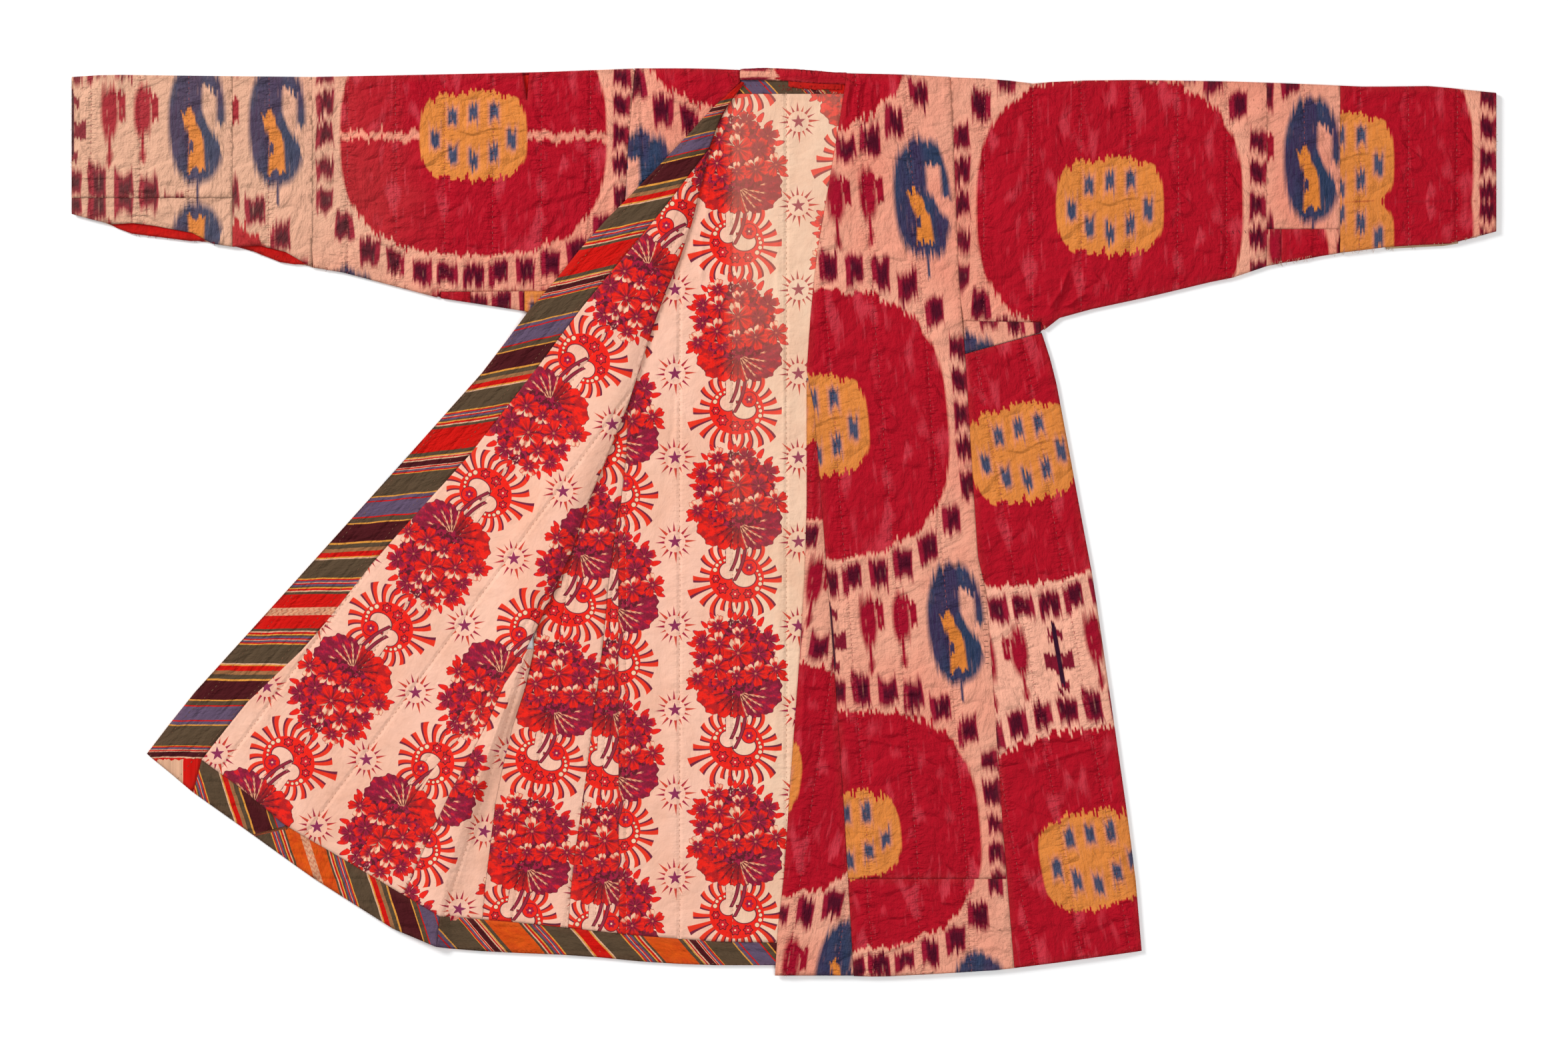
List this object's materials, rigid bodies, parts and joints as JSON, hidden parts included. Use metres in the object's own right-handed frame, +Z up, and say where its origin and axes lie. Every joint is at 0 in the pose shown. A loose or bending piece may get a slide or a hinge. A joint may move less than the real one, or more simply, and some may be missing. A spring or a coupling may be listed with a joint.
{
  "type": "uzbek chapan robe",
  "caption": "Quilted, patched Central Asian robe laid open on a surface, its left front closed and its right front turned back over the sleeve to show the printed lining and striped facings.",
  "frame": {"origin": "on the resting surface, under the middle of the garment's bounding box", "axes": "+X along the sleeves towards the left sleeve's cuff (the wearer's left), +Y from the hem to the shoulders, +Z up from the surface"},
  "size_m": [1.88, 1.1987, 0.0131],
  "materials": {
    "ikat_crimson": "soft sheen of silk and cotton warp ikat",
    "ikat_pink": "soft sheen of silk and cotton warp ikat, its light ground",
    "printed_cotton": "matte roller-printed cotton, quilted",
    "striped_cotton": "matte striped cotton",
    "red_cotton": "matte red cotton",
    "pale_cotton": "matte faded cotton"
  },
  "bodies": {
    "root": {"back": "ikat_pink", "back_left_gore": "ikat_pink", "back_right_gore": "ikat_pink", "front_facing": "striped_cotton", "hem_facing_back": "striped_cotton", "hem_facing_front": "striped_cotton", "left_front": "ikat_crimson", "left_front_hem_piece": "ikat_crimson", "left_front_strip": "ikat_crimson", "left_side_gore": "ikat_crimson", "lining_back": "printed_cotton", "lining_back_wedge": "printed_cotton", "lining_fold": "printed_cotton", "lining_front": "printed_cotton", "lining_front_wedge": "printed_cotton", "lining_side": "printed_cotton", "neck_binding": "ikat_crimson", "neck_facing": "striped_cotton", "neck_torn_ribbon": "red_cotton", "right_front": "ikat_pink", "right_front_shoulder": "ikat_crimson", "right_side_gore": "ikat_pink", "sleeve_left_cuff": "ikat_crimson", "sleeve_left_gusset": "ikat_pink", "sleeve_left_lining_edge": "pale_cotton", "sleeve_left_lining_rip": "red_cotton", "sleeve_left_patch_pink": "ikat_pink", "sleeve_left_patch_red": "ikat_crimson", "sleeve_left_strip": "ikat_pink", "sleeve_left_upper": "ikat_crimson", "sleeve_left_upper_back": "ikat_crimson", "sleeve_right_cuff": "ikat_pink", "sleeve_right_cuff_piece": "ikat_pink", "sleeve_right_gusset_inner": "ikat_crimson", "sleeve_right_gusset_middle": "ikat_crimson", "sleeve_right_gusset_outer": "ikat_crimson", "sleeve_right_lining_edge": "red_cotton", "sleeve_right_lining_rip": "red_cotton", "sleeve_right_strip": "ikat_pink", "sleeve_right_upper": "ikat_crimson", "sleeve_right_upper_back": "ikat_crimson"}
  },
  "joints": []
}
